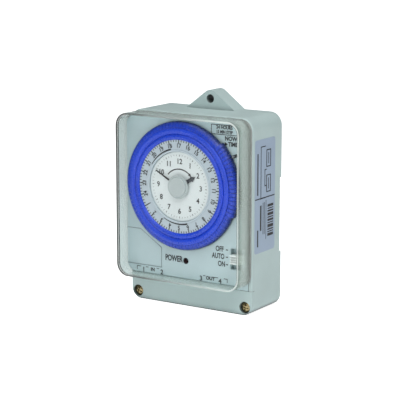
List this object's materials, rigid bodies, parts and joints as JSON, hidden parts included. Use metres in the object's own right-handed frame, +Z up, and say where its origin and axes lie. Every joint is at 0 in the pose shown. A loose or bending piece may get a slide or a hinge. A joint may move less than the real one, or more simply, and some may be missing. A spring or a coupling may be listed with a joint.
{
  "type": "mechanical time switch",
  "caption": "Wall or rail mounted mechanical time switch: grey case with hanging ear, hinged clear cover, day dial with blue trip tabs, clock face, hands and setting knob.",
  "frame": {"origin": "centre of the bounding box on the surface that the case stands on", "axes": "+X to the right seen from the front, +Y to the back, towards the wall, +Z up"},
  "size_m": [0.077, 0.0454, 0.1153],
  "materials": {
    "case_grey": "fine moulded texture",
    "panel_grey": "fine moulded texture",
    "clip_grey": "smooth",
    "clear_plastic": "clear, polished",
    "brass": "turned",
    "black_plastic": "moulded",
    "steel": "drawn",
    "plate_steel": "zinc plated sheet",
    "dial_white": "printed",
    "tab_blue": "satin moulded",
    "gear_white": "acetal",
    "hand_grey": "painted",
    "hand_black": "painted",
    "knob_grey": "satin moulded",
    "slider_white": "moulded",
    "lamp_red": "tinted",
    "board_green": "lacquered laminate",
    "cell_sleeve": "shrunk sleeve",
    "capacitor_yellow": "dipped"
  },
  "bodies": {
    "case": {"rear_housing": "case_grey", "terminal_cover": "case_grey", "terminal_cover_screws": "brass", "terminal_block": "black_plastic", "bus_strips": "brass", "terminal_clamps": "brass", "terminal_screws": "brass", "front_frame": "panel_grey", "hinge_pins": "steel", "cell_door": "panel_grey", "clock_face": "dial_white", "centre_post": "steel", "front_plate": "plate_steel", "rear_plate": "plate_steel", "plate_pillars": "brass", "plate_screws": "steel", "housing_screws": "steel", "motor_case": "plate_steel", "trip_pivot": "steel", "snap_switch_case": "black_plastic", "mode_switch_body": "black_plastic", "power_lamp": "lamp_red", "circuit_board": "board_green", "reserve_cell": "cell_sleeve", "dropper_capacitor": "capacitor_yellow"},
    "rail_clip": {"rail_clip": "clip_grey"},
    "cover": {"clear_cover": "clear_plastic"},
    "dial": {"program_dial": "dial_white", "tab_carrier": "tab_blue", "tabs_off": "tab_blue", "tabs_on": "tab_blue", "dial_wheel": "gear_white"},
    "tab_off_before": {"tab_off_before": "tab_blue"},
    "tab_on_first": {"tab_on_first": "tab_blue"},
    "tab_on_last": {"tab_on_last": "tab_blue"},
    "tab_off_after": {"tab_off_after": "tab_blue"},
    "hour": {"hour_pipe": "brass", "hour_wheel": "gear_white", "hour_hand": "hand_grey"},
    "minute": {"minute_arbor": "steel", "cannon_pinion": "brass", "minute_hand": "hand_black", "setting_knob": "knob_grey", "clutch_spring": "steel"},
    "motion_work": {"layshaft": "steel", "minute_wheel": "gear_white", "hour_pinion": "gear_white", "dial_pinion": "gear_white"},
    "drive": {"drive_wheel": "gear_white"},
    "rotor": {"motor_pinion": "brass"},
    "trip": {"trip_lever": "gear_white"},
    "plunger": {"snap_switch_plunger": "lamp_red"},
    "slider": {"mode_slider": "slider_white"}
  },
  "joints": [
    {"name": "cover_hinge", "type": "hinge", "parent": "case", "child": "cover", "pos_m": [-0.0366, -0.00965, 0.06], "axis": [0, 0, -1], "range_deg": [0, 95]},
    {"name": "dial_turn", "type": "hinge", "parent": "case", "child": "dial", "pos_m": [0, -0.01675, 0.0674], "axis": [0, 1, 0], "continuous": true},
    {"name": "hour_turn", "type": "hinge", "parent": "case", "child": "hour", "pos_m": [0, -0.012, 0.0674], "axis": [0, 1, 0], "continuous": true},
    {"name": "minute_turn", "type": "hinge", "parent": "case", "child": "minute", "pos_m": [0, -0.012, 0.0674], "axis": [0, 1, 0], "continuous": true},
    {"name": "motion_work_turn", "type": "hinge", "parent": "case", "child": "motion_work", "pos_m": [0, -0.007, 0.0534], "axis": [0, 1, 0], "continuous": true},
    {"name": "drive_turn", "type": "hinge", "parent": "case", "child": "drive", "pos_m": [0, -0.0035, 0.0674], "axis": [0, 1, 0], "continuous": true},
    {"name": "rotor_turn", "type": "hinge", "parent": "case", "child": "rotor", "pos_m": [-0.01073, -0.0035, 0.0764], "axis": [0, 1, 0], "continuous": true},
    {"name": "tab_off_before_slide", "type": "slide", "parent": "dial", "child": "tab_off_before", "axis": [0.6836, 0, 0.7299], "range_m": [0, 0.0012]},
    {"name": "tab_on_first_slide", "type": "slide", "parent": "dial", "child": "tab_on_first", "axis": [0.7299, 0, 0.6836], "range_m": [-0.0012, 0]},
    {"name": "tab_on_last_slide", "type": "slide", "parent": "dial", "child": "tab_on_last", "axis": [0.9359, 0, -0.3522], "range_m": [-0.0012, 0]},
    {"name": "tab_off_after_slide", "type": "slide", "parent": "dial", "child": "tab_off_after", "axis": [0.9109, 0, -0.4127], "range_m": [0, 0.0012]},
    {"name": "mode_slide", "type": "slide", "parent": "case", "child": "slider", "axis": [0, 0, 1], "range_m": [-0.003, 0.003]},
    {"name": "rail_clip_slide", "type": "slide", "parent": "case", "child": "rail_clip", "axis": [0, 0, -1], "range_m": [0, 0.0035], "stiffness_N_per_m": 600},
    {"name": "trip_swing", "type": "hinge", "parent": "case", "child": "trip", "pos_m": [0.02652, -0.01145, 0.09426], "axis": [0, -1, 0], "range_deg": [0, 4.5], "stiffness_Nm_per_rad": 0.01},
    {"name": "plunger_slide", "type": "slide", "parent": "case", "child": "plunger", "axis": [0, 0, -1], "range_m": [0, 0.000707]}
  ],
  "couplings": [
    {"joint": "hour_turn", "follows": "dial_turn", "ratio": 2},
    {"joint": "minute_turn", "follows": "dial_turn", "ratio": 24},
    {"joint": "motion_work_turn", "follows": "dial_turn", "ratio": -6},
    {"joint": "rotor_turn", "follows": "drive_turn", "ratio": -6},
    {"joint": "plunger_slide", "follows": "trip_swing", "m_per_rad": 0.009}
  ]
}
